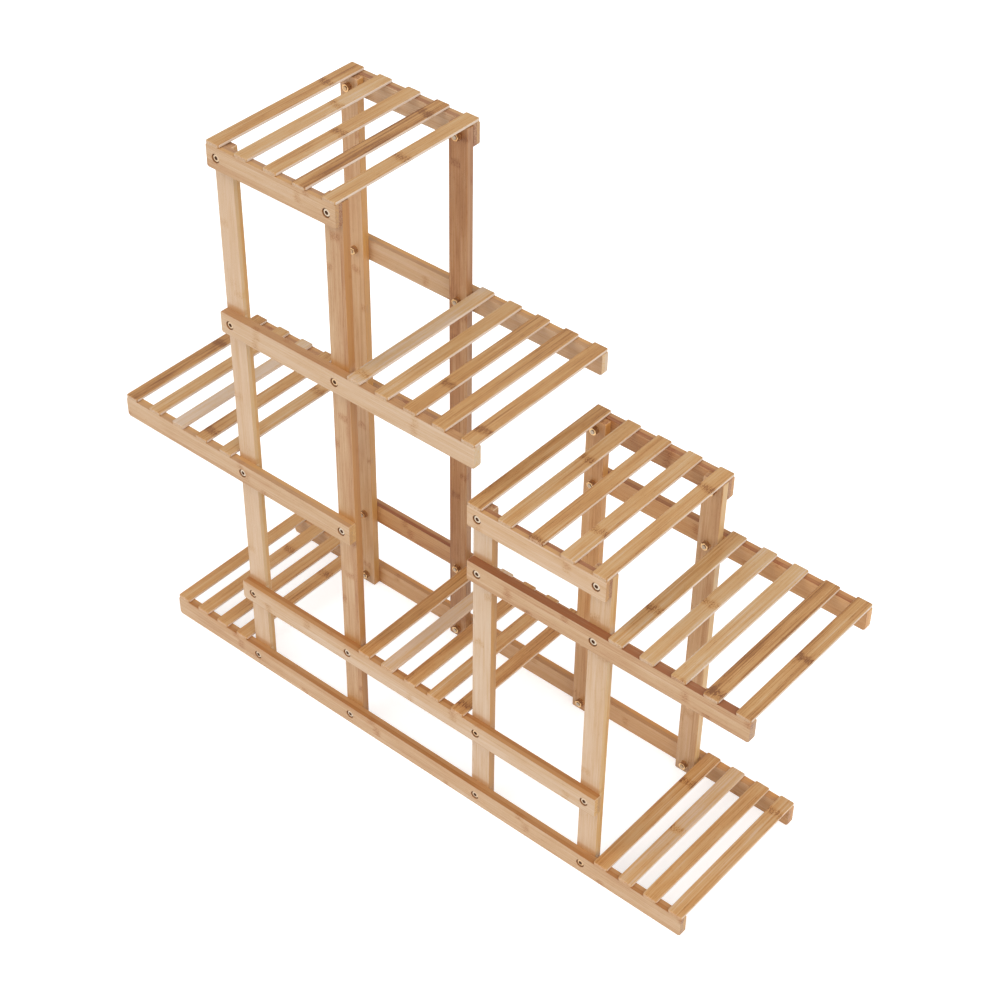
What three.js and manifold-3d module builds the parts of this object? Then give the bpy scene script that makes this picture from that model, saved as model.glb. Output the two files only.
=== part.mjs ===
// Tiered plant stand of laminated bamboo: eight upright legs, seven pairs of
// horizontal rails bolted to the outer faces of the legs, and eight slatted
// shelves that lie on the rails. Millimetres, +Z up, +X along the length
// towards the low end, +Y to the rear. The origin is on the floor under the
// middle of the stand.
import * as THREE from 'three';
import { mergeVertices } from 'three/addons/utils/BufferGeometryUtils.js';
import Module from 'manifold-3d';

const wasm = await Module();
wasm.setup();

// Overall layout
const standDepth = 250; // over the outer faces of the front and rear rails
const pairSpacing = 178; // centre to centre of the two legs of a pair
const middleSpacing = 226; // centre to centre across the middle bay

// Boards
const legWidth = 30;
const legThickness = 11.5;
const railHeight = 31;
const railThickness = 11.5;
const slatWidth = 21.5;
const slatThickness = 4.5;
const boardChamfer = 1; // eased long edges of legs and rails
const slatChamfer = 0.8; // eased long edges of slats
const slatEndRadius = 1.2; // eased top edge at both ends of a slat
const freeEndRadius = 2.5; // corners of a rail end that stands free
const legEndRadius = 1.5; // corners of a rail end at a leg
const legTopDrop = 1; // leg tops stay this far under the rails' top edges
const cornerSteps = 2; // flats round a rail corner and an eased slat end

// Underside of the rails of each level above the floor; level 1 stands on it
const level2Height = 117.5;
const level3Height = 333.5;
const level4Height = 394.5;
const level5Height = 481.5;
const level6Height = 571.5;
const level7Height = 810.5;

// Rail lengths
const armRailLength = 415; // rails of levels 3, 4 and 6, from the far leg to the free end
const bottomOverhang = 145; // level 1 beyond the outer legs, both ways
const spanOverhang = 3; // level 2 beyond the outer legs, both ways

// Slats
const shelfSlats = 5;
const bottomSlats = 4; // in each of the two groups of level 1
const slatLegClearance = 6; // from a leg to the slat beside it

// Fasteners: hex-socket bolts with a washer and a nut on the leg's inner face
const boltDiameter = 6;
const boltHoleClearance = 0.4; // all round the shank, in the rail
const headDiameter = 10.5;
const headHeight = 3;
const headRecess = 2; // head top below the rail's outer face
const counterboreClearance = 0.8; // all round the head
const socketWidth = 5; // across flats
const socketDepth = 1.8;
const washerDiameter = 12;
const washerThickness = 1.5;
const nutWidth = 10; // across flats
const nutHeight = 5;
const studEnd = 1; // bolt end beyond the nut
const roundSides = 8; // flats round each turned fastener and hole

// Derived places
const legX = [
  -middleSpacing / 2 - pairSpacing,
  -middleSpacing / 2,
  middleSpacing / 2,
  middleSpacing / 2 + pairSpacing,
];
const leftFace = (leg) => legX[leg - 1] - legWidth / 2;
const rightFace = (leg) => legX[leg - 1] + legWidth / 2;
const tallLegHeight = level7Height + railHeight - legTopDrop;
const lowLegHeight = level5Height + railHeight - legTopDrop;
const legHeight = [tallLegHeight, tallLegHeight, lowLegHeight, lowLegHeight];
const boltRise = railHeight / 2;
const counterboreDepth = headRecess + headHeight;

// Rail ends
const bottomLeft = leftFace(1) - bottomOverhang;
const bottomRight = rightFace(4) + bottomOverhang;
const leftArmEnd = rightFace(2) - armRailLength; // level 3
const rightArmEnd = leftFace(3) + armRailLength; // level 4
const upperArmEnd = leftFace(1) + armRailLength; // level 6

// Levels from the floor up. A free end reaches past the legs, and each slat
// group fills a stretch of the rails with evenly spread slats.
const levels = [
  {
    name: 'level_1',
    underside: 0,
    left: bottomLeft,
    right: bottomRight,
    freeEnds: ['left', 'right'],
    slatGroups: [
      {
        name: 'level_1_left_slat',
        from: bottomLeft,
        to: leftFace(1) - slatLegClearance,
        count: bottomSlats,
      },
      {
        name: 'level_1_right_slat',
        from: rightFace(4) + slatLegClearance,
        to: bottomRight,
        count: bottomSlats,
      },
    ],
  },
  {
    name: 'level_2',
    underside: level2Height,
    left: leftFace(1) - spanOverhang,
    right: rightFace(4) + spanOverhang,
    freeEnds: [],
    slatGroups: [
      {
        name: 'level_2_slat',
        from: rightFace(2) + slatLegClearance,
        to: leftFace(3) - slatLegClearance,
        count: shelfSlats,
      },
    ],
  },
  {
    name: 'level_3',
    underside: level3Height,
    left: leftArmEnd,
    right: rightFace(2),
    freeEnds: ['left'],
    slatGroups: [
      {
        name: 'level_3_slat',
        from: leftArmEnd,
        to: leftFace(1) - slatLegClearance,
        count: shelfSlats,
      },
    ],
  },
  {
    name: 'level_4',
    underside: level4Height,
    left: leftFace(3),
    right: rightArmEnd,
    freeEnds: ['right'],
    slatGroups: [
      {
        name: 'level_4_slat',
        from: rightFace(4) + slatLegClearance,
        to: rightArmEnd,
        count: shelfSlats,
      },
    ],
  },
  {
    name: 'level_5',
    underside: level5Height,
    left: leftFace(3),
    right: rightFace(4),
    freeEnds: [],
    slatGroups: [
      {
        name: 'level_5_slat',
        from: leftFace(3),
        to: rightFace(4),
        count: shelfSlats,
      },
    ],
  },
  {
    name: 'level_6',
    underside: level6Height,
    left: leftFace(1),
    right: upperArmEnd,
    freeEnds: ['right'],
    slatGroups: [
      {
        name: 'level_6_slat',
        from: rightFace(2) + slatLegClearance,
        to: upperArmEnd,
        count: shelfSlats,
      },
    ],
  },
  {
    name: 'level_7',
    underside: level7Height,
    left: leftFace(1),
    right: rightFace(2),
    freeEnds: [],
    slatGroups: [
      {
        name: 'level_7_slat',
        from: leftFace(1),
        to: rightFace(2),
        count: shelfSlats,
      },
    ],
  },
];

// A rail is bolted to every leg that it crosses.
function crosses(level, leg) {
  const x = legX[leg];
  return x > level.left && x < level.right && level.underside < legHeight[leg];
}

// The two sides of the stand. inward is the Y direction from the rail's outer
// face towards the middle of the stand.
const sides = [
  { name: 'front', outerY: -standDepth / 2, inward: 1 },
  { name: 'rear', outerY: standDepth / 2, inward: -1 },
];

// Joining and cutting
function toSolid(geometry) {
  const bare = geometry.clone();
  bare.deleteAttribute('normal');
  bare.deleteAttribute('uv');
  const merged = mergeVertices(bare, 1e-4);
  return new wasm.Manifold(new wasm.Mesh({
    numProp: 3,
    vertProperties: new Float32Array(merged.attributes.position.array),
    triVerts: new Uint32Array(merged.index.array),
  }));
}

function toGeometry(solid) {
  const mesh = solid.getMesh();
  const geometry = new THREE.BufferGeometry();
  geometry.setAttribute('position', new THREE.BufferAttribute(mesh.vertProperties, 3));
  geometry.setIndex(new THREE.BufferAttribute(mesh.triVerts, 1));
  geometry.computeVertexNormals();
  return geometry;
}

// Outlines
function roundedOutline(left, bottom, right, top, corners, segments) {
  const outline = [];
  const places = [
    [left, bottom, 1, 1, corners.left, Math.PI],
    [right, bottom, -1, 1, corners.right, 1.5 * Math.PI],
    [right, top, -1, -1, corners.right, 0],
    [left, top, 1, -1, corners.left, 0.5 * Math.PI],
  ];
  for (const [x, y, intoX, intoY, radius, start] of places) {
    for (let i = 0; i <= segments; i += 1) {
      const angle = start + (i / segments) * (Math.PI / 2);
      outline.push(new THREE.Vector2(
        x + radius * (intoX + Math.cos(angle)),
        y + radius * (intoY + Math.sin(angle)),
      ));
    }
  }
  return new THREE.Shape(outline);
}

function extrudeWithChamfer(shape, length, chamfer) {
  const geometry = new THREE.ExtrudeGeometry(shape, {
    depth: length - 2 * chamfer,
    bevelEnabled: true,
    bevelThickness: chamfer,
    bevelSize: chamfer,
    bevelOffset: -chamfer,
    bevelSegments: 1,
  });
  geometry.translate(0, 0, chamfer);
  return geometry;
}

// A turned profile of radius and distance points along +Y, ending on the axis
function turned(profile) {
  const points = profile.map(([radius, along]) => new THREE.Vector2(radius, along));
  return new THREE.LatheGeometry(points, roundSides);
}

function hexPrism(acrossFlats, height, start) {
  const geometry = new THREE.CylinderGeometry(
    acrossFlats / Math.sqrt(3),
    acrossFlats / Math.sqrt(3),
    height,
    6,
  );
  geometry.translate(0, start + height / 2, 0);
  return geometry;
}

// Bolt, washer and nut along +Y, measured from the rail's outer face
function boltSolid() {
  const underHead = headRecess + headHeight;
  const legInner = railThickness + legThickness;
  const nutStart = legInner + washerThickness;
  const end = nutStart + nutHeight + studEnd;
  const headRadius = headDiameter / 2;
  const shankRadius = boltDiameter / 2;
  const bolt = toSolid(turned([
    [0, headRecess],
    [headRadius, headRecess],
    [headRadius, underHead],
    [shankRadius, underHead],
    [shankRadius, end],
    [0, end],
  ]));
  // The washer starts inside the leg so that it joins it.
  const washerBite = 0.5;
  const washer = toSolid(turned([
    [0, legInner - washerBite],
    [washerDiameter / 2, legInner - washerBite],
    [washerDiameter / 2, nutStart],
    [0, nutStart],
  ]));
  const nut = toSolid(hexPrism(nutWidth, nutHeight + washerBite, nutStart - washerBite));
  const socket = toSolid(hexPrism(socketWidth, 2 * socketDepth, headRecess - socketDepth));
  return bolt.subtract(socket).add(washer).add(nut);
}

// Counterbored hole along +Y from the rail's outer face
function railHole() {
  const over = 1;
  const boreRadius = boltDiameter / 2 + boltHoleClearance;
  const counterboreRadius = headDiameter / 2 + counterboreClearance;
  return toSolid(turned([
    [0, -over],
    [counterboreRadius, -over],
    [counterboreRadius, counterboreDepth],
    [boreRadius, counterboreDepth],
    [boreRadius, railThickness + over],
    [0, railThickness + over],
  ]));
}

// Turn a solid that runs along +Y to run inward from one side of the stand
function placeAtSide(solid, side, x, z) {
  const facing = side.inward > 0 ? solid : solid.rotate([0, 0, 180]);
  return facing.translate([x, side.outerY, z]);
}

const bolt = boltSolid();
const hole = railHole();

function legGeometry(side, leg) {
  const shape = roundedOutline(
    -legWidth / 2,
    -legThickness / 2,
    legWidth / 2,
    legThickness / 2,
    { left: boardChamfer, right: boardChamfer },
    1,
  );
  const board = extrudeWithChamfer(shape, legHeight[leg], boardChamfer);
  const middleY = side.outerY + side.inward * (railThickness + legThickness / 2);
  board.translate(legX[leg], middleY, 0);
  let solid = toSolid(board);
  for (const level of levels) {
    if (crosses(level, leg)) {
      solid = solid.add(placeAtSide(bolt, side, legX[leg], level.underside + boltRise));
    }
  }
  return toGeometry(solid);
}

function railGeometry(side, level) {
  const cornerRadius = (end) => (level.freeEnds.includes(end) ? freeEndRadius : legEndRadius);
  const corners = { left: cornerRadius('left'), right: cornerRadius('right') };
  const shape = roundedOutline(
    level.left,
    level.underside,
    level.right,
    level.underside + railHeight,
    corners,
    cornerSteps,
  );
  // The outline is drawn in X and Z: its own Y becomes +Z and the extrusion -Y.
  const board = extrudeWithChamfer(shape, railThickness, boardChamfer);
  board.rotateX(Math.PI / 2);
  const innerY = side.outerY + side.inward * railThickness;
  board.translate(0, Math.max(side.outerY, innerY), 0);
  let solid = toSolid(board);
  for (let leg = 0; leg < legX.length; leg += 1) {
    if (crosses(level, leg)) {
      const cut = placeAtSide(hole, side, legX[leg], level.underside + boltRise);
      solid = solid.subtract(cut);
    }
  }
  return toGeometry(solid);
}

// A slat's side view, with its top edge eased at both ends
function slatShape() {
  const half = standDepth / 2;
  const shape = new THREE.Shape();
  shape.moveTo(-half, 0);
  shape.lineTo(half, 0);
  for (let i = 0; i <= cornerSteps; i += 1) {
    const angle = (i / cornerSteps) * (Math.PI / 2);
    shape.lineTo(
      half - slatEndRadius * (1 - Math.cos(angle)),
      slatThickness - slatEndRadius * (1 - Math.sin(angle)),
    );
  }
  for (let i = cornerSteps; i >= 0; i -= 1) {
    const angle = (i / cornerSteps) * (Math.PI / 2);
    shape.lineTo(
      -half + slatEndRadius * (1 - Math.cos(angle)),
      slatThickness - slatEndRadius * (1 - Math.sin(angle)),
    );
  }
  return shape;
}

function slatGeometry(centreX, underside) {
  const slat = extrudeWithChamfer(slatShape(), slatWidth, slatChamfer);
  // The outline's X becomes +Y, its Y becomes +Z and the extrusion +X.
  slat.rotateX(Math.PI / 2);
  slat.rotateZ(Math.PI / 2);
  slat.translate(centreX - slatWidth / 2, 0, underside);
  return slat;
}

// Materials: each board is cut from its own culm, so its tone is its own
const boardTones = ['#d6b494', '#d2ae8a', '#dab994', '#cfa985'];
const slatTones = ['#c4a882', '#be9663', '#b58452', '#c8a26e', '#c09a70'];

function bamboo(tones, index) {
  return new THREE.MeshStandardMaterial({
    color: tones[index % tones.length],
    roughness: 0.55,
    metalness: 0,
  });
}

const stand = new THREE.Group();

function addPiece(name, geometry, material) {
  const mesh = new THREE.Mesh(geometry, material);
  mesh.name = name;
  stand.add(mesh);
}

for (const side of sides) {
  for (let leg = 0; leg < legX.length; leg += 1) {
    addPiece(`leg_${side.name}_${leg + 1}`, legGeometry(side, leg), bamboo(boardTones, leg));
  }
}

for (const side of sides) {
  levels.forEach((level, index) => {
    addPiece(`${level.name}_rail_${side.name}`, railGeometry(side, level), bamboo(boardTones, index));
  });
}

for (const level of levels) {
  for (const group of level.slatGroups) {
    const first = group.from + slatWidth / 2;
    const pitch = (group.to - group.from - slatWidth) / (group.count - 1);
    for (let i = 0; i < group.count; i += 1) {
      const geometry = slatGeometry(first + i * pitch, level.underside + railHeight);
      addPiece(`${group.name}_${i + 1}`, geometry, bamboo(slatTones, i));
    }
  }
}

export default stand;
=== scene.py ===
import math

import bmesh
import bpy
from mathutils import Matrix, Vector


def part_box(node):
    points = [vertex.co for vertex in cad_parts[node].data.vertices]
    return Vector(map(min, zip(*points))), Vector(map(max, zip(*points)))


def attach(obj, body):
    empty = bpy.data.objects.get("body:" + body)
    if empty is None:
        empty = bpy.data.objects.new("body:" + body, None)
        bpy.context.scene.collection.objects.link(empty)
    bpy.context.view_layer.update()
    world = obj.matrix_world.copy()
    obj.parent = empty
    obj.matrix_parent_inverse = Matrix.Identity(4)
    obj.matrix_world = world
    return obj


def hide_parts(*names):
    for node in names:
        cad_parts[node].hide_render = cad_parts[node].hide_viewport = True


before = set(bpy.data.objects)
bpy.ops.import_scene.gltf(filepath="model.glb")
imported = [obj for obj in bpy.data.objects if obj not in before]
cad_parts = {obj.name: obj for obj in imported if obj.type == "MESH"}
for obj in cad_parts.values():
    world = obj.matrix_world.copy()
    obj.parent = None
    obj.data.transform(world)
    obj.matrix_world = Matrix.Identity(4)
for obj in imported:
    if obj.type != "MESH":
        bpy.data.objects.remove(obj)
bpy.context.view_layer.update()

mm = 0.001
scene = bpy.context.scene
print("frame loaded,", len(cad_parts), "nodes")


def toLinear(hexColour):
    channels = [int(hexColour[i:i + 2], 16) / 255 for i in (1, 3, 5)]
    linear = [c / 12.92 if c <= 0.04045 else ((c + 0.055) / 1.055) ** 2.4 for c in channels]
    return (*linear, 1.0)


def addNode(tree, kind, inputs=(), **settings):
    # inputs: values, sockets or nodes, in a list by place or in a dictionary by name;
    # a list as a value links several of them to one socket
    node = tree.nodes.new(kind)
    for name, value in settings.items():
        setattr(node, name, value)
    for key, values in (inputs.items() if isinstance(inputs, dict) else enumerate(inputs)):
        for value in (values if isinstance(values, list) else [values]):
            if isinstance(value, bpy.types.Node):
                value = value.outputs[0]
            if isinstance(value, bpy.types.NodeSocket):
                tree.links.new(value, node.inputs[key])
            else:
                node.inputs[key].default_value = value
    return node


# the angle of the photograph
camera = {
    "azimuth": 39.442,
    "elevation": 40.299,
    "roll": 0.970,
    "target": (45.402, 0.0, 410.264),   # mm
    "distance": 2632.115,               # mm
    "sensor": 36.0,                     # mm
    "lens": 75.609252,                  # mm
    "clip": (0.05, 60.0),               # metres
}


def makeCamera(view):
    azimuth, elevation, roll = (math.radians(view[k]) for k in ("azimuth", "elevation", "roll"))
    back = Vector((
        math.sin(azimuth) * math.cos(elevation),
        -math.cos(azimuth) * math.cos(elevation),
        math.sin(elevation),
    ))
    right = Vector((math.cos(azimuth), math.sin(azimuth), 0))
    up = back.cross(right)
    rolledRight = right * math.cos(roll) + up * math.sin(roll)
    rolledUp = up * math.cos(roll) - right * math.sin(roll)
    data = bpy.data.cameras.new("camera")
    data.sensor_width = view["sensor"]
    data.lens = view["lens"]
    data.clip_start, data.clip_end = view["clip"]
    shot = bpy.data.objects.new("camera", data)
    place = (Vector(view["target"]) + back * view["distance"]) * mm
    turn = Matrix((rolledRight, rolledUp, back)).transposed().to_4x4()
    shot.matrix_world = Matrix.Translation(place) @ turn
    scene.collection.objects.link(shot)
    scene.camera = shot


makeCamera(camera)
scene.view_settings.view_transform = "Standard"
print("camera set")

# white paper under soft lamps
studio = {
    "floorSize": 40.0,        # metres
    "floorColour": "#d9dadb",
    "floorLift": 0.60,        # white added to the floor for the camera and for gloss
    "skyStrength": 0.50,
    "skyColour": "#fffdfa",
    "lamps": {
        # direction the light comes from, strength, and how wide the panel looks in degrees
        "frontLeftPanel": ((-0.50, -0.80, 0.75), 1.14, 50),
        "rightPanel": ((0.85, -0.30, 0.60), 1.42, 50),
        "overheadPanel": ((0.05, 0.10, 1.00), 0.50, 80),
    },
}


def makeStudio(look):
    world = bpy.data.worlds.new("studio")
    scene.world = world
    world.use_nodes = True
    tree = world.node_tree
    tree.nodes.clear()
    path = addNode(tree, "ShaderNodeLightPath")
    lit = addNode(tree, "ShaderNodeBackground", {
        "Color": toLinear(look["skyColour"]),
        "Strength": look["skyStrength"],
    })
    # the camera sees plain white past the floor's edge
    seen = addNode(tree, "ShaderNodeBackground", {"Color": (1, 1, 1, 1), "Strength": 1.0})
    mixed = addNode(tree, "ShaderNodeMixShader", [path.outputs["Is Camera Ray"], lit, seen])
    addNode(tree, "ShaderNodeOutputWorld", [mixed])

    half = look["floorSize"] / 2
    corners = [(x * half, y * half, 0) for x, y in ((-1, -1), (1, -1), (1, 1), (-1, 1))]
    floorMesh = bpy.data.meshes.new("floor")
    floorMesh.from_pydata(corners, [], [(0, 1, 2, 3)])
    floor = bpy.data.objects.new("floor", floorMesh)
    scene.collection.objects.link(floor)
    # matte studio paper; white is added to it for the camera and for gloss, so that it
    # reads as white around a soft grey shadow
    paper = bpy.data.materials.new("matteStudioPaper")
    paper.use_nodes = True
    tree = paper.node_tree
    tree.nodes.clear()
    path = addNode(tree, "ShaderNodeLightPath")
    matte = addNode(tree, "ShaderNodeBsdfDiffuse", {"Color": toLinear(look["floorColour"])})
    watched = path.outputs["Is Camera Ray"]
    for ray in ("Is Glossy Ray", "Is Transmission Ray"):
        watched = addNode(tree, "ShaderNodeMath", [watched, path.outputs[ray]], operation="MAXIMUM")
    lift = addNode(tree, "ShaderNodeMath", [watched, look["floorLift"]], operation="MULTIPLY")
    white = addNode(tree, "ShaderNodeEmission", {"Color": (1, 1, 1, 1), "Strength": lift})
    both = addNode(tree, "ShaderNodeAddShader", [matte, white])
    addNode(tree, "ShaderNodeOutputMaterial", [both])
    floorMesh.materials.append(paper)

    # distant panels, so that the lowest shelf is lit as the highest is
    for name, (source, strength, width) in look["lamps"].items():
        data = bpy.data.lights.new(name, "SUN")
        data.energy = strength
        data.angle = math.radians(width)
        lamp = bpy.data.objects.new(name, data)
        lamp.rotation_euler = Vector(source).to_track_quat("Z", "Y").to_euler()
        scene.collection.objects.link(lamp)


makeStudio(studio)
print("studio set")

# Every board carries four attributes. grain is its own place in metres: along the
# fibres, across the face, through the thickness. board is its shade, the place of its
# knuckle in mm and a number of its own. form is half its length and half its width in
# mm, and how warm its colour is, partly its own tone and partly painted warm bounce
# light on shaded parts. sides is the shade of its narrow sides and of its ends, and how
# much darker the ply at the greater depth is there. Rails and legs also have one more
# attribute: painted orange shade in bands above the rails on the front legs, and an
# orange tone on the narrow sides. Rails have cut, which is 1 on the walls of their
# holes, where shade is painted. Slats, which have neither, read them as 0.
shades = {
    "ash": 0.10,
    "cream": 0.18,
    "blond": 0.26,
    "oat": 0.33,
    "straw": 0.40,
    "wheat": 0.46,
    "honey": 0.52,
    "amber": 0.64,
    "caramel": 0.76,
}

# laminated bamboo, planed and lacquered: pale strips with fine even streaks, satin,
# browner on the narrow sides, where the glue line between the plies shows
boardLook = {
    "ramp": [(0.0, "#dbc3ac"), (0.14, "#d6ba9e"), (0.39, "#caa57d"), (0.64, "#b07c4d"), (0.84, "#8a532b")],
    "sideRamp": [(0.0, "#d3bda5"), (0.2, "#d5b585"), (0.4, "#cb9a5b"), (0.75, "#b28b67"), (1.0, "#8f5735")],
    "stripWidth": 15.2,
    "stripTone": 0.07,
    "glueLine": 0.30,         # the real one is 0.1 mm, drawn wider so that it shows
    "glueTone": 0.14,
    "fibre": (70.0, 1.5),     # length and width of the finest streaks
    "fibreTone": 0.20,
    "streak": (420.0, 2.8),
    "streakTone": 0.13,
    "cloud": (90.0, 20.0),
    "cloudTone": 0.20,
    "fleck": (9.0, 0.8),      # dark vessel marks, short dashes
    "fleckTone": 0.14,
    "knuckleSpacing": 262.0,
    "knuckleStagger": 190.0,  # each strip of a ply has its knuckles elsewhere
    "knuckleReach": 9.0,
    "knuckleTone": 0.08,
    "speckTone": 0.18,
    "endTone": 0.5,
    # strength of the painted orange shade above the rails and of the narrow sides' orange tone
    "jointShadeAndSideStrength": 0.66,
    "roughness": 0.42,
    "bumpDepth": 0.10,
}

# single strips of planed bamboo under the same lacquer: stronger streaks, and brown
# knuckles right across
slatLook = {
    "ramp": [
        (0.0, "#cab4a1"), (0.14, "#c8af98"), (0.3, "#c5a47b"),
        (0.55, "#bf935f"), (0.8, "#ad7a46"), (1.0, "#7e4f2a"),
    ],
    "sideRamp": [(0.0, "#e1cebd"), (0.4, "#c9ab8b"), (0.75, "#b98a5c"), (1.0, "#925a34")],
    "stripWidth": 400.0,
    "stripTone": 0.0,
    "glueLine": 0.3,
    "glueTone": 0.0,
    "fibre": (90.0, 1.3),
    "fibreTone": 0.50,
    "streak": (420.0, 2.8),
    "streakTone": 0.44,
    "cloud": (80.0, 16.0),
    "cloudTone": 0.34,
    "fleck": (10.0, 0.9),
    "fleckTone": 0.28,
    "knuckleSpacing": 400.0,
    "knuckleStagger": 0.0,
    "knuckleReach": 10.0,
    "knuckleTone": 0.14,
    "speckTone": 0.45,
    "endTone": 0.3,
    "jointShadeAndSideStrength": 0.0,
    "roughness": 0.40,
    "bumpDepth": 0.12,
}

# what all boards have in common, lengths in mm
bambooForm = {
    "boardShift": (531.7, 173.3, 91.1),    # how far a board's number moves its pattern
    "stripShift": 40.0,                    # the same for a strip's own chance
    "plySeed": 3.0,                        # for where the strips of a ply begin
    "wander": (30.0, 6.5, 6.5),            # size of the bends in a knuckle
    "wanderReach": 9.0,
    "speck": (2.6, 1.3, 1.3),              # length and widths
    "speckRange": (0.47, 0.62),
    "knuckleStart": 1.5,                   # half the band at its full strength
    "knuckleLine": (0.3, 1.6),             # half the middle line, full and faded out
    "knuckleLineTone": (0.55, 0.15),       # what a speck adds to it, and its own
    "fleckRange": (0.60, 0.72),
    "endDot": (1.6, 1.6, 1.1),             # cut fibres in the end grain
    "sideBand": 0.25,                      # strip at the edges coloured as a narrow side
    "sideChange": 0.7,                     # share of the face's pattern seen there
    "warmAndBounceTint": (1.05, 0.88, 0.66, 1.0),   # linear; a fully warm board against a plain one; partly own tone, partly painted warm bounce light
    "jointShadeAndSideColour": "#b67a36",             # painted orange shade above the rails; orange tone of the narrow sides
    "holeShadeColour": "#a06e46",            # painted shade on the walls of a drilled hole
    "fibreRange": (0.3, 0.7),
    "roughSpread": (-0.06, 0.08),          # added to the roughness over that range
    "lineRelief": 0.5,                     # height of a knuckle's line against the fibres
    "bumpStrength": 0.5,
    "ior": 1.5,
}


def setStops(ramp, stopList):
    stops = ramp.color_ramp.elements
    while len(stops) < len(stopList):
        stops.new(0.5)
    for stop, (position, colour) in zip(stops, stopList):
        stop.position = position
        stop.color = toLinear(colour)


def makeBamboo(name, look):
    shared = bambooForm
    material = bpy.data.materials.new(name)
    material.use_nodes = True
    tree = material.node_tree
    tree.nodes.clear()

    read = {}
    for attribute in ("grain", "board", "form", "sides", "jointShadeAndSideTone", "cut"):
        read[attribute] = addNode(tree, "ShaderNodeAttribute", attribute_name=attribute).outputs
    inMm = addNode(tree, "ShaderNodeVectorMath", {
        0: read["grain"]["Vector"], "Scale": 1 / mm,
    }, operation="SCALE")
    along, across, depth = addNode(tree, "ShaderNodeSeparateXYZ", [inMm]).outputs
    traits = []
    for attribute in ("board", "form", "sides"):
        traits += addNode(tree, "ShaderNodeSeparateXYZ", [read[attribute]["Vector"]]).outputs[:]
    shade, knuckleAt, number = traits[0:3]
    halfLength, halfWidth, warmthAndBounce = traits[3:6]
    sideShade, endShade, plyContrast = traits[6:9]
    ownShift = addNode(tree, "ShaderNodeVectorMath", {
        0: shared["boardShift"], "Scale": number,
    }, operation="SCALE")
    own = addNode(tree, "ShaderNodeVectorMath", [inMm, ownShift], operation="ADD")

    # two plies glued face to face, each of strips side by side
    ply = addNode(tree, "ShaderNodeMath", [depth, 0.0], operation="GREATER_THAN")
    plyKey = addNode(tree, "ShaderNodeCombineXYZ", [ply, number, shared["plySeed"]])
    plyChance = addNode(tree, "ShaderNodeTexWhiteNoise", {"Vector": plyKey}, noise_dimensions="3D")
    stripPlace = addNode(tree, "ShaderNodeMath", [across, look["stripWidth"]], operation="DIVIDE")
    stripShifted = addNode(tree, "ShaderNodeMath", [stripPlace, plyChance.outputs["Value"]], operation="ADD")
    strip = addNode(tree, "ShaderNodeMath", [stripShifted], operation="FLOOR")
    cellKey = addNode(tree, "ShaderNodeCombineXYZ", [strip, ply, number])
    cell = addNode(tree, "ShaderNodeTexWhiteNoise", {"Vector": cellKey}, noise_dimensions="3D")
    cellTone, cellPlace = addNode(tree, "ShaderNodeSeparateXYZ", [cell.outputs["Color"]]).outputs[:2]

    # fibres and streaks, long along the board and narrow across it
    cellShift = addNode(tree, "ShaderNodeVectorMath", {
        0: cell.outputs["Color"], "Scale": shared["stripShift"],
    }, operation="SCALE")
    layers = {}
    for layer in ("fibre", "streak", "cloud", "fleck"):
        length, width = look[layer]
        scale = (1 / length, 1 / width, 1 / width)
        stretched = addNode(tree, "ShaderNodeVectorMath", [own, scale], operation="MULTIPLY")
        shifted = addNode(tree, "ShaderNodeVectorMath", [stretched, cellShift], operation="ADD")
        layers[layer] = addNode(tree, "ShaderNodeTexNoise", {
            "Vector": shifted, "Scale": 1.0, "Detail": 2.0, "Roughness": 0.55,
        })
    for layer, detail, roughness in (("wander", 1.0, 0.5), ("speck", 2.0, 0.6), ("endDot", 2.0, 0.5)):
        scale = tuple(1 / size for size in shared[layer])
        stretched = addNode(tree, "ShaderNodeVectorMath", [own, scale], operation="MULTIPLY")
        layers[layer] = addNode(tree, "ShaderNodeTexNoise", {
            "Vector": stretched, "Scale": 1.0, "Detail": detail, "Roughness": roughness,
        })
    masks = []
    for layer in ("speck", "fleck"):
        low, high = shared[layer + "Range"]
        masks.append(addNode(tree, "ShaderNodeMapRange", {
            "Value": layers[layer], "From Min": low, "From Max": high,
        }))
    specks, flecks = masks

    # knuckle: a band of brown specks and short dashes right across the strip, and
    # in its middle a broken dark line that wanders
    stagger = addNode(tree, "ShaderNodeMath", [cellPlace, look["knuckleStagger"]], operation="MULTIPLY")
    knuckleHere = addNode(tree, "ShaderNodeMath", [knuckleAt, stagger], operation="ADD")
    wandered = addNode(tree, "ShaderNodeMath", [
        layers["wander"], shared["wanderReach"], along,
    ], operation="MULTIPLY_ADD")
    fromKnuckle = addNode(tree, "ShaderNodeMath", [wandered, knuckleHere], operation="SUBTRACT")
    halfSpacing = look["knuckleSpacing"] / 2
    wrapped = addNode(tree, "ShaderNodeMath", [fromKnuckle, halfSpacing, -halfSpacing], operation="WRAP")
    away = addNode(tree, "ShaderNodeMath", [wrapped], operation="ABSOLUTE")
    fades = []
    for full, gone in ((shared["knuckleStart"], look["knuckleReach"]), shared["knuckleLine"]):
        fades.append(addNode(tree, "ShaderNodeMapRange", {
            "Value": away, "From Min": full, "From Max": gone, "To Min": 1.0, "To Max": 0.0,
        }, interpolation_type="SMOOTHSTEP"))
    band, line = fades
    lineLeft = addNode(tree, "ShaderNodeMath", [
        specks, *shared["knuckleLineTone"],
    ], operation="MULTIPLY_ADD")
    brokenLine = addNode(tree, "ShaderNodeMath", [line, lineLeft], operation="MULTIPLY")
    bandSpecks = addNode(tree, "ShaderNodeMath", [band, specks], operation="MULTIPLY")
    speckled = addNode(tree, "ShaderNodeMath", [bandSpecks, brokenLine], operation="MAXIMUM")

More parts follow.
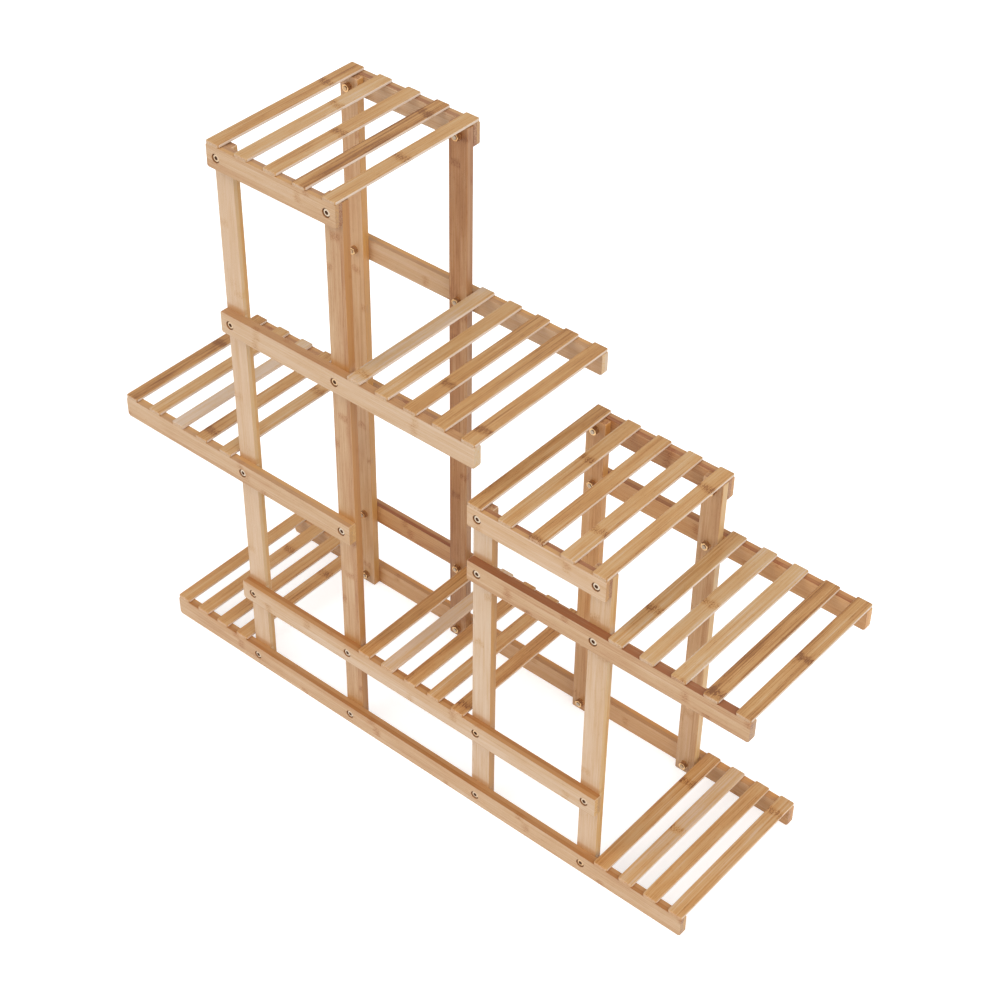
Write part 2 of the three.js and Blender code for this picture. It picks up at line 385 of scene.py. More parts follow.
    # glue lines between the strips and between the plies
    fromStrip = addNode(tree, "ShaderNodeMath", [stripShifted, 0.5], operation="PINGPONG")
    fromStrip = addNode(tree, "ShaderNodeMath", [fromStrip, look["stripWidth"]], operation="MULTIPLY")
    fromPly = addNode(tree, "ShaderNodeMath", [depth], operation="ABSOLUTE")
    lines = []
    for distance in (fromStrip, fromPly):
        lines.append(addNode(tree, "ShaderNodeMapRange", {
            "Value": distance, "From Min": 0.0, "From Max": look["glueLine"], "To Min": 1.0, "To Max": 0.0,
        }))
    glue = addNode(tree, "ShaderNodeMath", lines, operation="MAXIMUM")

    # what all of it adds to the board's own shade
    change = addNode(tree, "ShaderNodeMath", [band, look["knuckleTone"]], operation="MULTIPLY")
    for mask, tone in ((speckled, "speckTone"), (flecks, "fleckTone"), (glue, "glueTone")):
        change = addNode(tree, "ShaderNodeMath", [mask, look[tone], change], operation="MULTIPLY_ADD")
    uneven = [(layers[layer], layer + "Tone") for layer in ("fibre", "streak", "cloud")]
    for value, tone in uneven + [(cellTone, "stripTone")]:
        middle = addNode(tree, "ShaderNodeMath", [value, -0.5], operation="ADD")
        change = addNode(tree, "ShaderNodeMath", [middle, 2 * look[tone], change], operation="MULTIPLY_ADD")
    faceTone = addNode(tree, "ShaderNodeMath", [shade, change], operation="ADD")
    faceColour = addNode(tree, "ShaderNodeValToRGB", [faceTone])
    setStops(faceColour, look["ramp"])

    # narrow sides show the wood between skin and pith, ends the cut fibres
    masks = []
    for place, half in ((across, halfWidth), (along, halfLength)):
        size = addNode(tree, "ShaderNodeMath", [place], operation="ABSOLUTE")
        start = addNode(tree, "ShaderNodeMath", [half, shared["sideBand"]], operation="SUBTRACT")
        masks.append(addNode(tree, "ShaderNodeMath", [size, start], operation="GREATER_THAN"))
    onEnd = masks[1]
    narrow = addNode(tree, "ShaderNodeMath", masks, operation="MAXIMUM")
    endMiddle = addNode(tree, "ShaderNodeMath", [layers["endDot"], -0.5], operation="ADD")
    endTone = addNode(tree, "ShaderNodeMath", [
        endMiddle, 2 * look["endTone"], endShade,
    ], operation="MULTIPLY_ADD")
    sideTone = addNode(tree, "ShaderNodeMix", {
        "Factor": onEnd, "A": sideShade, "B": endTone,
    }, data_type="FLOAT")
    plySide = addNode(tree, "ShaderNodeMath", [ply, -0.5], operation="ADD")
    sideTone = addNode(tree, "ShaderNodeMath", [plySide, plyContrast, sideTone], operation="MULTIPLY_ADD")
    sideTone = addNode(tree, "ShaderNodeMath", [
        change, shared["sideChange"], sideTone,
    ], operation="MULTIPLY_ADD")
    sideColour = addNode(tree, "ShaderNodeValToRGB", [sideTone])
    setStops(sideColour, look["sideRamp"])

    # over the face: narrow sides, the board's warmth (own tone and painted warm bounce light), painted
    # orange shade above the rails with the orange tone of the narrow sides, and painted shade on the walls
    # of the holes
    jointShadeAndSideTone = addNode(tree, "ShaderNodeMath", [
        read["jointShadeAndSideTone"]["Fac"], look["jointShadeAndSideStrength"],
    ], operation="MULTIPLY")
    colour = faceColour.outputs["Color"]
    for factor, over, blend in (
        (narrow, sideColour, "MIX"),
        (warmthAndBounce, shared["warmAndBounceTint"], "MULTIPLY"),
        (jointShadeAndSideTone, toLinear(shared["jointShadeAndSideColour"]), "MIX"),
        (read["cut"]["Fac"], toLinear(shared["holeShadeColour"]), "MIX"),
    ):
        mix = {"Factor": factor, 6: colour, 7: over}
        colour = addNode(tree, "ShaderNodeMix", mix, data_type="RGBA", blend_type=blend).outputs[2]

    fibreLow, fibreHigh = shared["fibreRange"]
    smoother, rougher = shared["roughSpread"]
    rough = addNode(tree, "ShaderNodeMapRange", {
        "Value": layers["fibre"],
        "From Min": fibreLow,
        "From Max": fibreHigh,
        "To Min": look["roughness"] + smoother,
        "To Max": look["roughness"] + rougher,
    })
    relief = addNode(tree, "ShaderNodeMath", [
        line, shared["lineRelief"], layers["fibre"],
    ], operation="MULTIPLY_ADD")
    bump = addNode(tree, "ShaderNodeBump", {
        "Strength": shared["bumpStrength"], "Distance": look["bumpDepth"] * mm, "Height": relief,
    })
    surface = addNode(tree, "ShaderNodeBsdfPrincipled", {
        "Base Color": colour, "Roughness": rough, "IOR": shared["ior"], "Normal": bump,
    })
    addNode(tree, "ShaderNodeOutputMaterial", [surface])
    return material


laminatedBamboo = makeBamboo("laminatedBambooLacquered", boardLook)
planedBamboo = makeBamboo("planedBambooStripLacquered", slatLook)

# zinc-plated steel: bright and warm, cloudy, with painted shade, dark and less metal,
# in its recesses; the yellow of the plating is stronger on some pieces than on others
zincLook = {
    "colour": "#dccdb9",
    "patchColour": "#bdaa92",
    "tintColour": "#cf9f62",
    "tint": 0.75,
    "paintedShadeColour": "#6e4c36",
    "patch": 0.7,             # mm
    "roughness": 0.26,
    "roughSpread": (-0.06, 0.10),
    "paintedShadeMetal": 0.35,      # painted shade in the recesses is less metal
}

# the same with a brassy plating, on the washers and the nuts
brassyLook = {
    "colour": "#f4d6a6",
    "patchColour": "#cfa06a",
    "tintColour": "#c98a50",
    "tint": 0.5,
    "paintedShadeColour": "#7a431f",
    "patch": 1.4,
    "roughness": 0.22,
    "roughSpread": (-0.06, 0.10),
    "paintedShadeMetal": 0.35,
}


def makeSteel(name, look):
    # the first attribute is painted shade, high where a face lies far from the light; plating is how yellow
    # the piece is
    material = bpy.data.materials.new(name)
    material.use_nodes = True
    tree = material.node_tree
    tree.nodes.clear()
    place = addNode(tree, "ShaderNodeTexCoord")
    patches = addNode(tree, "ShaderNodeTexNoise", {
        "Vector": place.outputs["Object"], "Scale": 1 / (look["patch"] * mm), "Detail": 2.0,
    })
    recess = addNode(tree, "ShaderNodeAttribute", attribute_name="recess").outputs["Fac"]
    plating = addNode(tree, "ShaderNodeAttribute", attribute_name="plating").outputs["Fac"]
    tint = addNode(tree, "ShaderNodeMath", [plating, look["tint"]], operation="MULTIPLY")
    colour = toLinear(look["colour"])
    for factor, over in ((patches, "patchColour"), (tint, "tintColour"), (recess, "paintedShadeColour")):
        mix = {"Factor": factor, 6: colour, 7: toLinear(look[over])}
        colour = addNode(tree, "ShaderNodeMix", mix, data_type="RGBA").outputs[2]
    smoother, rougher = look["roughSpread"]
    rough = addNode(tree, "ShaderNodeMapRange", {
        "Value": patches, "To Min": look["roughness"] + smoother, "To Max": look["roughness"] + rougher,
    })
    metal = addNode(tree, "ShaderNodeMapRange", {
        "Value": recess, "To Min": 1.0, "To Max": look["paintedShadeMetal"],
    })
    surface = addNode(tree, "ShaderNodeBsdfPrincipled", {
        "Base Color": colour, "Metallic": metal, "Roughness": rough,
    })
    addNode(tree, "ShaderNodeOutputMaterial", [surface])
    return material


zincSteel = makeSteel("zincPlatedSteel", zincLook)
brassySteel = makeSteel("yellowZincPlatedSteel", brassyLook)
print("materials made")


narrowReach = 0.3 * mm        # a vertex this near a board's edge is on its narrow side
sameHeight = 0.01 * mm


def linkPiece(name, mesh, slot, *nodes):
    piece = bpy.data.objects.new(name, mesh)
    scene.collection.objects.link(piece)
    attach(piece, "root")
    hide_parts(*nodes)


def bakeMesh(carrier):
    # the evaluated result as a plain mesh; the carrier and its modifiers go
    bpy.context.view_layer.update()
    graph = bpy.context.evaluated_depsgraph_get()
    evaluated = carrier.evaluated_get(graph)
    mesh = bpy.data.meshes.new_from_object(evaluated, preserve_all_data_layers=True, depsgraph=graph)
    carrier.modifiers.clear()
    bpy.data.objects.remove(carrier)
    return mesh


def evenShading(mesh, sharpAngle=38):
    # flat faces stay flat and the small rounds take up the turn of the normal
    mesh.shade_smooth()
    mesh.set_sharp_from_angle(angle=math.radians(sharpAngle))
    carrier = bpy.data.objects.new("carrier", mesh)
    scene.collection.objects.link(carrier)
    weighted = carrier.modifiers.new("weighted", "WEIGHTED_NORMAL")
    weighted.keep_sharp = True
    weighted.weight = 100
    return bakeMesh(carrier)


def giveGrain(mesh, origin, axes, traits):
    # axes: which of x, y, z runs along the fibres, across the face and through
    for name in ("grain", *traits):
        mesh.attributes.new(name, "FLOAT_VECTOR", "POINT")
    grain = mesh.attributes["grain"].data
    for vertex in mesh.vertices:
        local = vertex.co - origin
        grain[vertex.index].vector = [local[axis] for axis in axes]
    for name, values in traits.items():
        for spot in mesh.attributes[name].data:
            spot.vector = values


def finishBoard(name, mesh):
    mesh = evenShading(mesh)
    mesh.materials.clear()
    mesh.materials.append(laminatedBamboo)
    mesh.name = name + "Board"
    linkPiece(name + "Board", mesh, "board_bamboo", name)


def prismFromOutline(outline, low, high, rounding, segments):
    # a board: outline in x and z, extruded in y, its long edges rounded over
    form = bmesh.new()
    rings = [[form.verts.new((x, y, z)) for x, z in outline] for y in (low, high)]
    form.faces.new(rings[0])
    form.faces.new(list(reversed(rings[1])))
    count = len(outline)
    for i in range(count):
        j = (i + 1) % count
        form.faces.new((rings[0][j], rings[0][i], rings[1][i], rings[1][j]))
    rim = [edge for edge in form.edges if edge.verts[0].co.y == edge.verts[1].co.y]
    bmesh.ops.bevel(
        form, geom=rim, offset=rounding, offset_type="OFFSET", segments=segments,
        profile=0.5, affect="EDGES", clamp_overlap=True,
    )
    bmesh.ops.recalc_face_normals(form, faces=form.faces)
    mesh = bpy.data.meshes.new("prism")
    form.to_mesh(mesh)
    form.free()
    return mesh


def turnedCutter(profile, places, sides):
    # profile: radius and y; one turned cutter at each place of x and z
    form = bmesh.new()
    for x, z in places:
        rings = []
        for radius, y in profile:
            ring = []
            for i in range(sides):
                angle = 2 * math.pi * i / sides
                ring.append(form.verts.new((x + radius * math.cos(angle), y, z + radius * math.sin(angle))))
            rings.append(ring)
        for a, b in zip(rings, rings[1:]):
            for i in range(sides):
                j = (i + 1) % sides
                form.faces.new((a[i], a[j], b[j], b[i]))
        form.faces.new(rings[0])
        form.faces.new(rings[-1])
    bmesh.ops.recalc_face_normals(form, faces=form.faces)
    mesh = bpy.data.meshes.new("cutter")
    form.to_mesh(mesh)
    form.free()
    return mesh


def drill(mesh, cutterMesh):
    body = bpy.data.objects.new("body", mesh)
    cutter = bpy.data.objects.new("cutter", cutterMesh)
    scene.collection.objects.link(body)
    scene.collection.objects.link(cutter)
    cut = body.modifiers.new("drill", "BOOLEAN")
    cut.operation = "DIFFERENCE"
    cut.solver = "EXACT"
    cut.object = cutter
    result = bakeMesh(body)
    bpy.data.objects.remove(cutter)
    return result


def roundedOutline(low, high, leftRadius, rightRadius, steps):
    left, bottom, right, top = low.x, low.z, high.x, high.z
    outline = []
    corners = [
        (left + leftRadius, bottom + leftRadius, leftRadius, 180),
        (right - rightRadius, bottom + rightRadius, rightRadius, 270),
        (right - rightRadius, top - rightRadius, rightRadius, 0),
        (left + leftRadius, top - leftRadius, leftRadius, 90),
    ]
    for x, z, radius, start in corners:
        for i in range(steps + 1):
            angle = math.radians(start + 90 * i / steps)
            outline.append((x + radius * math.cos(angle), z + radius * math.sin(angle)))
    return outline


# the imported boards, which the bolts' places come from
legNames = [f"leg_{side}_{n}" for side in ("front", "rear") for n in (1, 2, 3, 4)]
railNames = [f"level_{n}_rail_{side}" for side in ("front", "rear") for n in range(1, 8)]
boxes = {name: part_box(name) for name in legNames + railNames}

# lengths in mm
boltSizes = {
    "headDiameter": 10.5,
    "headHeight": 3.8,
    "headRound": 1.0,
    "headRecess": 1.2,
    "shankDiameter": 6.0,
    "socketWidth": 5.0,
    "socketDepth": 1.5,
    "washerDiameter": 12.0,
    "washerThickness": 1.5,
    "nutWidth": 10.0,
    "nutHeight": 5.0,
    "studEnd": 1.0,
    "counterboreDiameter": 12.1,
    "boreDiameter": 6.8,
    "mouthEase": 0.25,
    "sides": 40,
    "studRound": 0.5,
    "shankOverlap": 0.4,          # of the shank into the head, which it is joined to
    "washerHole": 6.6,
    "washerEase": 0.3,
    "nutBore": 6.3,
    "nutBoreSides": 32,
    "nutChamfer": 1.1,
    "nutChamferShare": 1.985,     # diameter of the cone for a corner radius of 1
    "uprightSlope": 0.4,          # an upright face's normal leans less to the axis than this
    "topBand": 0.05,              # under the head's top, where no recess starts yet
    # painted shade is 1 where soft light hardly reaches; of two values the first is
    # what upright faces or the bore add to the second
    "headPaintedShade": 0.6,
    "studPaintedShade": (0.75, 0.25),
    "washerPaintedShade": 0.25,
    "nutPaintedShade": (0.3, 0.7),
    "seeds": {"bolt": 4, "washer": 5, "nut": 6},
    "platingSeed": 100.0,         # added to a seed, for the plating
}


def boltPlaces(railName):
    # x and z of the bolts of one rail: one at each leg that it crosses
    low, high = boxes[railName]
    side = railName.rsplit("_", 1)[1]
    places = []
    for n in (1, 2, 3, 4):
        legLow, legHigh = boxes[f"leg_{side}_{n}"]
        middle = (legLow.x + legHigh.x) / 2
        if low.x < middle < high.x and low.z < legHigh.z:
            places.append((middle, (low.z + high.z) / 2))
    return places


railLook = {
    "firstNumber": 1,         # the boards' own numbers run on from it
    "rounding": 1.1,
    "roundingSteps": 3,
    "cornerSteps": 6,
    "freeCorner": 2.5,
    "legCorner": 1.5,
    # levels whose rails have an end that stands free, well rounded at both corners
    "freeEnds": {1: ("left", "right"), 3: ("left",), 4: ("right",), 6: ("right",)},
    # shade, knuckle place in mm from the rail's middle, shades of the narrow sides and
    # ends, warmth (own tone and painted warm bounce light), how much darker the inner ply
    # is than the outer one, how much orange tone the narrow sides get
    "boards": {
        "level_1_rail_front": ("straw", -120, 0.82, 0.62, 0.0, -0.18, 0.7),
        "level_2_rail_front": ("blond", -40, 0.79, 0.46, 0.0, 0.24, 0.75),
        "level_3_rail_front": ("straw", -60, 0.66, 0.50, 0.0, -0.16, 0.15),
        "level_4_rail_front": ("wheat", 20, 1.06, 0.74, 0.0, -0.08, 0.1),
        "level_5_rail_front": ("blond", -10, 0.76, 0.68, 0.2, 0.24, 0.0),
        "level_6_rail_front": ("blond", 60, 0.77, 0.06, 0.0, 0.0, 0.4),
        "level_7_rail_front": ("straw", 30, 0.70, 0.74, 0.0, 0.24, 0.0),
        "level_1_rail_rear": ("oat", 10, 0.66, 0.62, 1.0, 0.24, 0.0),
        "level_2_rail_rear": ("wheat", -70, 0.93, 0.60, 1.0, 0.24, 0.0),
        "level_3_rail_rear": ("amber", 0, 0.70, 0.50, 0.5, 0.24, 0.0),
        "level_4_rail_rear": ("straw", 40, 0.80, 0.36, 1.0, 0.24, 0.0),
        "level_5_rail_rear": ("honey", 0, 0.80, 0.66, 0.6, 0.24, 0.0),
        "level_6_rail_rear": ("oat", 90, 0.60, 0.02, 0.2, 0.24, 0.0),
        "level_7_rail_rear": ("straw", 40, 0.76, 0.76, 0.0, 0.24, 0.0),
    },
}


def makeRail(name, look, number):
    low, high = boxes[name]
    free = look["freeEnds"].get(int(name.split("_")[1]), ())
    corners = [look["freeCorner" if end in free else "legCorner"] * mm for end in ("left", "right")]
    outline = roundedOutline(low, high, *corners, look["cornerSteps"])
    mesh = prismFromOutline(outline, low.y, high.y, look["rounding"] * mm, look["roundingSteps"])
    outer, inward = (low.y, 1) if name.endswith("front") else (high.y, -1)
    thickness = (high.y - low.y) / mm
    counterbore = boltSizes["counterboreDiameter"] / 2
    bore = boltSizes["boreDiameter"] / 2
    ease = boltSizes["mouthEase"]
    seat = boltSizes["headRecess"] + boltSizes["headHeight"]
    profile = [
        (counterbore + 2 * ease, -ease),
        (counterbore, ease),
        (counterbore, seat),
        (bore, seat),
        (bore, thickness - ease),
        (bore + 2 * ease, thickness + ease),
    ]
    profile = [(radius * mm, outer + inward * y * mm) for radius, y in profile]
    places = boltPlaces(name)
    mesh = drill(mesh, turnedCutter(profile, places, boltSizes["sides"]))

    shade, knuckle, sideShade, endShade, warmthAndBounce, plyContrast, sideOrange = look["boards"][name]
    giveGrain(mesh, (low + high) / 2, (0, 2, 1), {
        "board": (shades[shade], knuckle, number),
        "form": ((high.x - low.x) / 2 / mm, (high.z - low.z) / 2 / mm, warmthAndBounce),
        "sides": (sideShade, endShade, plyContrast * inward),
    })
    # cut marks the hole walls, which get painted shade; the other attribute gives the narrow sides their
    # orange tone
    for attribute in ("cut", "jointShadeAndSideTone"):
        mesh.attributes.new(attribute, "FLOAT", "POINT")
    cut, jointShadeAndSideTone = mesh.attributes["cut"].data, mesh.attributes["jointShadeAndSideTone"].data
    reach = (counterbore + ease) * mm
    for vertex in mesh.vertices:
        inside = min(vertex.co.y - low.y, high.y - vertex.co.y) > ease / 2 * mm
        near = any(math.hypot(vertex.co.x - x, vertex.co.z - z) < reach for x, z in places)
        cut[vertex.index].value = float(inside and near)
        onSide = min(vertex.co.z - low.z, high.z - vertex.co.z) < narrowReach
        jointShadeAndSideTone[vertex.index].value = sideOrange * onSide
    finishBoard(name, mesh)


for index, name in enumerate(railNames):
    makeRail(name, railLook, railLook["firstNumber"] + index)
print("rails made,", len(railNames))

legLook = {
    "firstNumber": 31,
    "rounding": 1.1,
    "roundingSteps": 3,
    "endCorner": 2.0,
    "cornerSteps": 4,
    "boreSides": 24,
    "borePast": 1.0,          # of the cutter past both faces
    "endShade": 0.80,
    "plyContrast": 0.16,
    # painted orange shade above each rail: mm above the rail's top, and how much
    "jointShade": [(-0.5, 0.0), (0.0, 1.0), (5.5, 0.75), (10.0, 0.0)],
    "jointShadeDepth": 8.0,         # mm from the rail's face, past which no shade is painted
    # shade, knuckle place in mm above the floor, shade of the narrow sides, warmth (own
    # tone and painted warm bounce light), how much orange tone the narrow sides get
    "boards": {
        "leg_front_1": ("blond", 310, 0.26, 0.1, 0.15),
        "leg_front_2": ("honey", 470, 0.72, 0.0, 1.0),
        "leg_front_3": ("cream", 190, 0.50, 0.0, 0.45),
        "leg_front_4": ("blond", 60, 0.28, 0.1, 0.15),
        "leg_rear_1": ("straw", 460, 0.44, 0.4, 0.0),
        "leg_rear_2": ("amber", 230, 0.82, 0.15, 0.3),
        "leg_rear_3": ("straw", 120, 0.40, 0.9, 0.0),
        "leg_rear_4": ("straw", 300, 0.16, 0.4, 0.0),
    },
}


def paintJointShadeAndSideTone(mesh, look, tops, near, sideOrange, low, high):
    # loops across the leg above each rail, so that the painted shade can fade between them; the narrow sides
    # get an even orange tone
    shadeBands = [(top + rise * mm, amount) for top in tops for rise, amount in look["jointShade"]]
    form = bmesh.new()
    form.from_mesh(mesh)
    jointShadeAndSideTone = form.verts.layers.float.new("jointShadeAndSideTone")
    for height, _ in shadeBands:
        everything = form.verts[:] + form.edges[:] + form.faces[:]
        bmesh.ops.bisect_plane(form, geom=everything, plane_co=(0, 0, height), plane_no=(0, 0, 1))
    for vertex in form.verts:
        if min(vertex.co.x - low.x, high.x - vertex.co.x) < narrowReach:
            vertex[jointShadeAndSideTone] = sideOrange
        for height, amount in shadeBands:
            if abs(vertex.co.z - height) < sameHeight and vertex.co.y < near + look["jointShadeDepth"] * mm:
                vertex[jointShadeAndSideTone] = max(vertex[jointShadeAndSideTone], amount)
    form.to_mesh(mesh)
    form.free()


def makeLeg(name, look, number):
    low, high = boxes[name]
    front = "front" in name
    rails = [rail for rail in railNames if rail.endswith("front") == front]
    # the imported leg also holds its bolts, so the board's own faces come from a rail
    railLow, railHigh = boxes["level_2_rail_front" if front else "level_2_rail_rear"]
    thickness = railHigh.y - railLow.y
    near = railHigh.y if front else railLow.y - thickness
    far = near + thickness
    corner = look["endCorner"] * mm
    outline = roundedOutline(low, high, corner, corner, look["cornerSteps"])
    mesh = prismFromOutline(outline, near, far, look["rounding"] * mm, look["roundingSteps"])
    places = [place for rail in rails for place in boltPlaces(rail) if low.x < place[0] < high.x]
    bore = boltSizes["boreDiameter"] / 2 * mm
    past = look["borePast"] * mm
    profile = [(bore, near - past), (bore, far + past)]
    mesh = drill(mesh, turnedCutter(profile, places, look["boreSides"]))

    shade, knuckle, sideShade, warmthAndBounce, sideOrange = look["boards"][name]
    middle = Vector(((low.x + high.x) / 2, (near + far) / 2, (low.z + high.z) / 2))
    # painted orange shade on the front legs above each rail that crosses them
    tops = []
    for railLow, railHigh in (boxes[rail] for rail in rails if front):
        if railLow.x < middle.x < railHigh.x and railHigh.z < high.z:
            tops.append(railHigh.z)
    paintJointShadeAndSideTone(mesh, look, tops, near, sideOrange, low, high)
    giveGrain(mesh, middle, (2, 0, 1), {
        "board": (shades[shade], knuckle - middle.z / mm, number),
        "form": ((high.z - low.z) / 2 / mm, (high.x - low.x) / 2 / mm, warmthAndBounce),
        "sides": (sideShade, look["endShade"], look["plyContrast"] if front else 0),
    })
    finishBoard(name, mesh)


for index, name in enumerate(legNames):
    makeLeg(name, legLook, legLook["firstNumber"] + index)
print("legs made,", len(legNames))


def newTree(name, sockets):
    # sockets: name, kind and default of each input after the geometry
    tree = bpy.data.node_groups.new(name, "GeometryNodeTree")
    tree.interface.new_socket("Geometry", in_out="INPUT", socket_type="NodeSocketGeometry")
    tree.interface.new_socket("Geometry", in_out="OUTPUT", socket_type="NodeSocketGeometry")
    for socketName, kind, default in sockets:
        socket = tree.interface.new_socket(socketName, in_out="INPUT", socket_type=kind)
        if default is not None:
            socket.default_value = default
    return tree, addNode(tree, "NodeGroupInput")


def finishTree(tree, given, placed):
    real = addNode(tree, "GeometryNodeRealizeInstances", [placed])
    dressed = addNode(tree, "GeometryNodeSetMaterial", {
        "Geometry": real, "Material": given.outputs["Material"],
    })
    addNode(tree, "NodeGroupOutput", [dressed])


def growPiece(name, tree, spots, attributes, inputs, slot, nodes):
    # spots: where instances go; attributes: values carried by each spot
    spotMesh = bpy.data.meshes.new(name + "Spots")
    spotMesh.from_pydata(spots, [], [])
    for attributeName, values in attributes.items():
        stored = spotMesh.attributes.new(attributeName, "FLOAT_VECTOR", "POINT")
        for i, value in enumerate(values):
            stored.data[i].vector = value
    carrier = bpy.data.objects.new(name + "Spots", spotMesh)
    modifier = carrier.modifiers.new(tree.name, "NODES")
    modifier.node_group = tree
    for item in tree.interface.items_tree:
        if item.item_type == "SOCKET" and item.in_out == "INPUT" and item.name in inputs:
            modifier[item.identifier] = inputs[item.name]
    scene.collection.objects.link(carrier)
    mesh = evenShading(bakeMesh(carrier))
    mesh.name = name
    linkPiece(name, mesh, slot, *nodes)


lengthSocket = "NodeSocketFloat"


def slatTree():
    tree, given = newTree("slatRow", [
        ("Slat width", lengthSocket, 21.5 * mm),
        ("Slat length", lengthSocket, 250 * mm),
        ("Slat thickness", lengthSocket, 4.5 * mm),
        ("Edge rounding", lengthSocket, 1.3 * mm),
        ("End roll", lengthSocket, 1.2 * mm),
        ("Corner ease", lengthSocket, 2.2 * mm),
        ("Material", "NodeSocketMaterial", None),
    ])
    width, length, thickness, rounding, roll, ease = given.outputs[1:7]
    roundingPoints, stationCount = 3, 61

    # section, swept from front to rear with its stations drawn together at the ends
    section = addNode(tree, "GeometryNodeCurvePrimitiveQuadrilateral", {
        "Width": width, "Height": thickness,
    }, mode="RECTANGLE")
    eased = addNode(tree, "GeometryNodeFilletCurve", {
        "Curve": section, "Count": roundingPoints, "Radius": rounding, "Limit Radius": True,
    }, mode="POLY")
    half = addNode(tree, "ShaderNodeMath", [length, 0.5], operation="MULTIPLY")
    minusHalf = addNode(tree, "ShaderNodeMath", [half, -1.0], operation="MULTIPLY")
    front = addNode(tree, "ShaderNodeCombineXYZ", {"Y": minusHalf})
    rear = addNode(tree, "ShaderNodeCombineXYZ", {"Y": half})
    path = addNode(tree, "GeometryNodeCurvePrimitiveLine", {"Start": front, "End": rear})
    stations = addNode(tree, "GeometryNodeResampleCurve", {
        "Curve": path, "Count": stationCount,
    }, mode="COUNT")
    spot = addNode(tree, "GeometryNodeInputPosition")
    spotY = addNode(tree, "ShaderNodeSeparateXYZ", [spot]).outputs["Y"]
    share = addNode(tree, "ShaderNodeMath", [spotY, half], operation="DIVIDE")
    angle = addNode(tree, "ShaderNodeMath", [share, math.pi / 2], operation="MULTIPLY")
    sine = addNode(tree, "ShaderNodeMath", [angle], operation="SINE")
    drawn = addNode(tree, "ShaderNodeMath", [sine, half], operation="MULTIPLY")
    drawnPlace = addNode(tree, "ShaderNodeCombineXYZ", {"Y": drawn})
    gathered = addNode(tree, "GeometryNodeSetPosition", {"Geometry": stations, "Position": drawnPlace})
    swept = addNode(tree, "GeometryNodeCurveToMesh", {
        "Curve": gathered, "Profile Curve": eased, "Fill Caps": True,
    })
    halfThickness = addNode(tree, "ShaderNodeMath", [thickness, 0.5], operation="MULTIPLY")
    lifting = addNode(tree, "ShaderNodeCombineXYZ", {"Z": halfThickness})
    lifted = addNode(tree, "GeometryNodeSetPosition", {"Geometry": swept, "Offset": lifting})

    # roll the top edge over at both ends and ease the corners in plan
    at = addNode(tree, "ShaderNodeSeparateXYZ", [addNode(tree, "GeometryNodeInputPosition")])
    reach = addNode(tree, "ShaderNodeMath", [at.outputs["Y"]], operation="ABSOLUTE")
    drops = []
    for radius in (roll, ease):
        start = addNode(tree, "ShaderNodeMath", [half, radius], operation="SUBTRACT")
        past = addNode(tree, "ShaderNodeMath", [reach, start], operation="SUBTRACT")
        part = addNode(tree, "ShaderNodeMath", [past, radius], operation="DIVIDE", use_clamp=True)
        squared = addNode(tree, "ShaderNodeMath", [part, part], operation="MULTIPLY")
        rest = addNode(tree, "ShaderNodeMath", [1.0, squared], operation="SUBTRACT")
        root = addNode(tree, "ShaderNodeMath", [rest], operation="SQRT")
        lost = addNode(tree, "ShaderNodeMath", [1.0, root], operation="SUBTRACT")
        drops.append(addNode(tree, "ShaderNodeMath", [lost, radius], operation="MULTIPLY"))
    left = addNode(tree, "ShaderNodeMath", [thickness, drops[0]], operation="SUBTRACT")
    flatten = addNode(tree, "ShaderNodeMath", [left, thickness], operation="DIVIDE")
    newZ = addNode(tree, "ShaderNodeMath", [at.outputs["Z"], flatten], operation="MULTIPLY")
    halfWidth = addNode(tree, "ShaderNodeMath", [width, 0.5], operation="MULTIPLY")
    leftAcross = addNode(tree, "ShaderNodeMath", [halfWidth, drops[1]], operation="SUBTRACT")
    narrow = addNode(tree, "ShaderNodeMath", [leftAcross, halfWidth], operation="DIVIDE")
    newX = addNode(tree, "ShaderNodeMath", [at.outputs["X"], narrow], operation="MULTIPLY")
    newPlace = addNode(tree, "ShaderNodeCombineXYZ", [newX, at.outputs["Y"], newZ])
    rolled = addNode(tree, "GeometryNodeSetPosition", {"Geometry": lifted, "Position": newPlace})

    # the grain runs with the slat's length
    grainPlace = addNode(tree, "ShaderNodeSeparateXYZ", [addNode(tree, "GeometryNodeInputPosition")])
    grain = addNode(tree, "ShaderNodeCombineXYZ", [
        grainPlace.outputs["Y"], grainPlace.outputs["X"], grainPlace.outputs["Z"],
    ])
    grained = addNode(tree, "GeometryNodeStoreNamedAttribute", {
        "Geometry": rolled, "Name": "grain", "Value": grain,
    }, data_type="FLOAT_VECTOR", domain="POINT")
    placed = addNode(tree, "GeometryNodeInstanceOnPoints", {
        "Points": given.outputs["Geometry"], "Instance": grained,
    })
    finishTree(tree, given, placed)
    return tree


